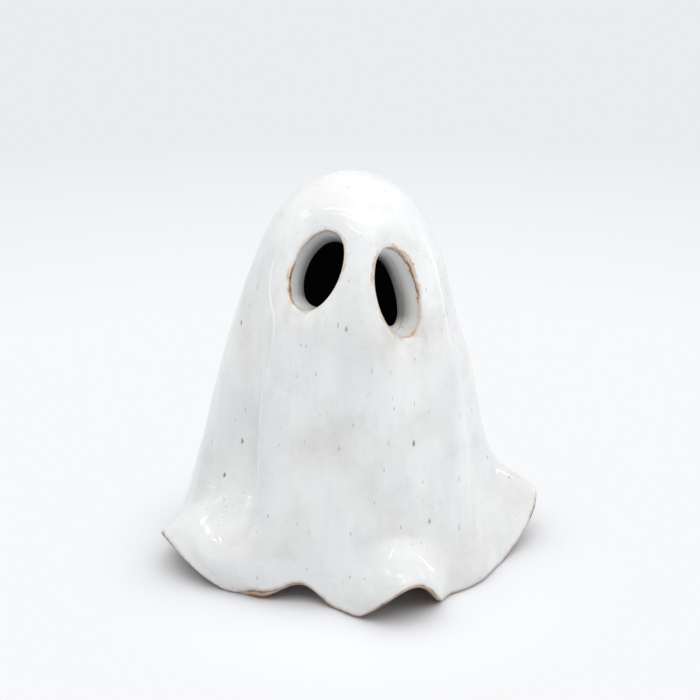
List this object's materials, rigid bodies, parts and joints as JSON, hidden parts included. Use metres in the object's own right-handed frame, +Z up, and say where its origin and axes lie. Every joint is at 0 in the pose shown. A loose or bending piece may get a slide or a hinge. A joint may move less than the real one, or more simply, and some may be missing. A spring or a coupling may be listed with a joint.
{
  "type": "ceramic ghost light cover",
  "caption": "Glazed stoneware sheet ghost with a wavy hem and eyes cut through, hollow and open below, standing over a battery tea light that shines out through the eyes.",
  "frame": {"origin": "on the table, in the middle of the whole figure's width and depth", "axes": "+Z up through the crown, -Y out of the face, +X to the viewer's right when the face is seen from the front"},
  "size_m": [0.113, 0.0938, 0.1165],
  "materials": {
    "white_glaze": "gloss",
    "ivory_plastic": "satin",
    "flame_plastic": "satin",
    "lamp_lens": "gloss",
    "tinned_wire": "bright",
    "zinc_steel": "zinc plated",
    "cell_steel": "bright",
    "contact_metal": "plain",
    "black_plastic": "satin"
  },
  "bodies": {
    "tea_light": {"candle_cup": "ivory_plastic", "flame_tip": "flame_plastic", "led_lens": "lamp_lens", "led_anode_leg": "tinned_wire", "led_cathode_leg": "tinned_wire", "base_plate": "ivory_plastic", "base_screws": "zinc_steel", "battery_cell": "cell_steel", "positive_contact": "contact_metal", "negative_contact": "contact_metal", "switch_terminal": "contact_metal"},
    "ghost": {"ghost_shell": "white_glaze"},
    "switch": {"switch_knob": "black_plastic", "switch_wiper": "contact_metal"},
    "door": {"battery_door": "ivory_plastic"}
  },
  "joints": [
    {"name": "shell_lift", "type": "slide", "parent": "tea_light", "child": "ghost", "axis": [0, 0, 1], "range_m": [0, 0.08]},
    {"name": "switch_slide", "type": "slide", "parent": "tea_light", "child": "switch", "axis": [1, 0, 0], "range_m": [0, 0.003]},
    {"name": "door_turn", "type": "hinge", "parent": "tea_light", "child": "door", "pos_m": [-0.00076, -0.00094, 0.0018], "axis": [0, 0, -1], "range_deg": [0, 40]}
  ]
}
